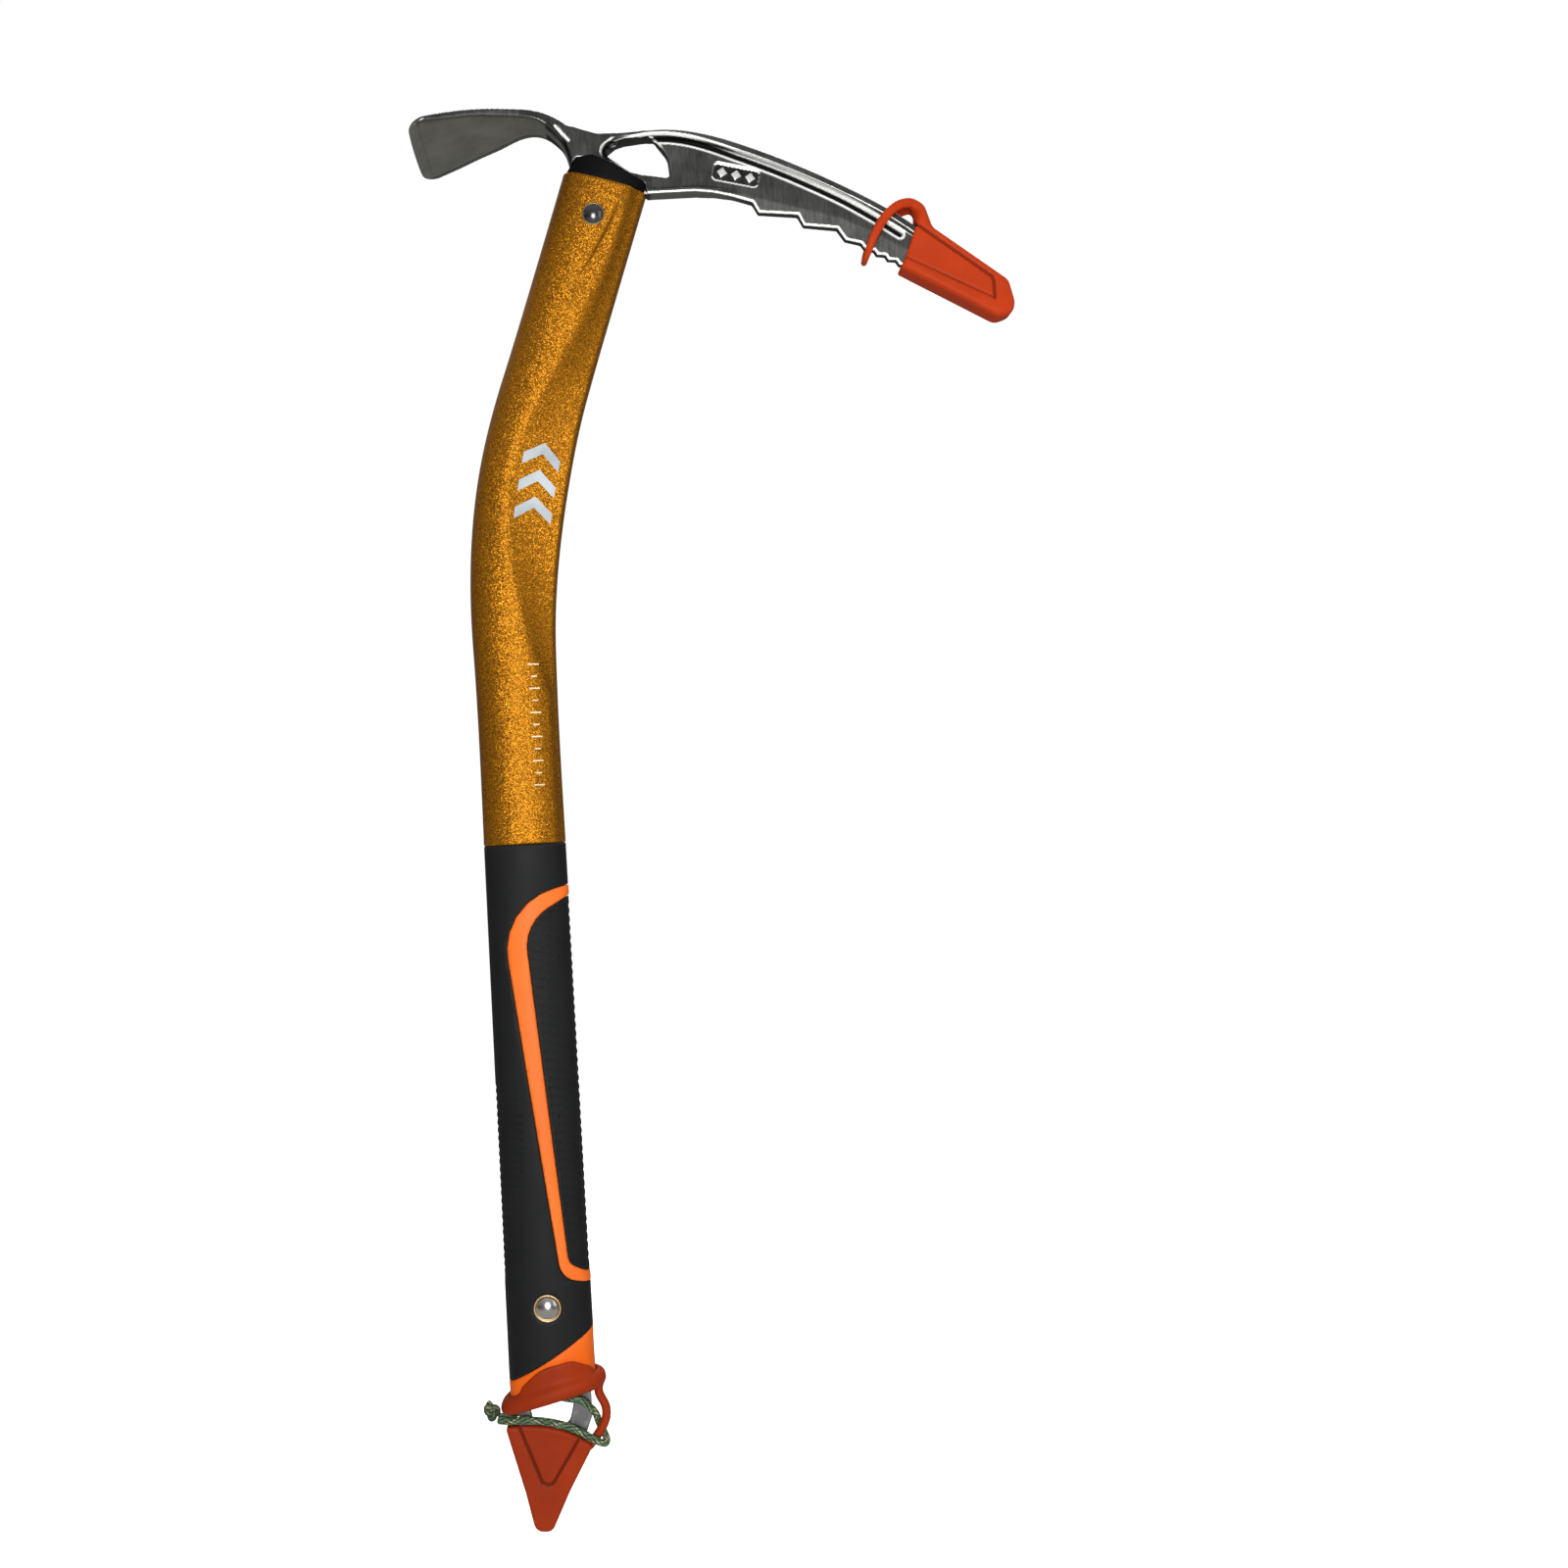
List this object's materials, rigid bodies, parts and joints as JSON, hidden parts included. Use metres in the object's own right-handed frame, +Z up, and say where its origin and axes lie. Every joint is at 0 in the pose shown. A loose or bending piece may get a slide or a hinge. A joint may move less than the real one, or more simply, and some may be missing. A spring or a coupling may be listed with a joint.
{
  "type": "ice axe",
  "caption": "Curved-shaft mountaineering ice axe with a toothed pick, an adze, a moulded grip, a spike and rubber point guards.",
  "frame": {"origin": "middle of the eye in the head, on the axe's middle plane", "axes": "+Z up along the grip towards the head, +X towards the pick, +Y across the axe's thickness"},
  "size_m": [0.2482, 0.056, 0.5915],
  "materials": {
    "forged_steel": "forged, satin flats and polished edges",
    "black_plastic": "moulded, slightly glossy",
    "gold_anodised": "gold anodised with a fine metallic sparkle",
    "rivet_steel": "polished dome",
    "washer_steel": "satin",
    "orange_rubber": "matt moulded",
    "black_rubber": "matt moulded with fine ribs",
    "stainless_steel": "satin ground plate",
    "guard_orange": "matt moulded",
    "guard_red": "matt moulded",
    "cord_braid": "braided, green, black and cream"
  },
  "bodies": {
    "axe": {"head": "forged_steel", "head_spacer": "black_plastic", "shaft": "gold_anodised", "head_rivet": "rivet_steel", "head_rivet_washers": "washer_steel", "grip_base": "orange_rubber", "grip_cover": "black_rubber", "grip_pad": "black_rubber", "spike": "stainless_steel", "spike_plug": "black_plastic", "spike_rivet": "rivet_steel", "spike_rivet_washers": "washer_steel", "tether_cord": "cord_braid", "tether_knot": "cord_braid"},
    "pick_guard": {"pick_guard": "guard_orange"},
    "spike_guard": {"spike_guard": "guard_red"}
  },
  "joints": [
    {"name": "pick_guard_pull", "type": "slide", "parent": "axe", "child": "pick_guard", "axis": [0.8192, 0, -0.5736], "range_m": [0, 0.08]},
    {"name": "spike_guard_pull", "type": "slide", "parent": "axe", "child": "spike_guard", "axis": [0, 0, -1], "range_m": [0, 0.045], "deforming": ["tether_cord"]}
  ]
}
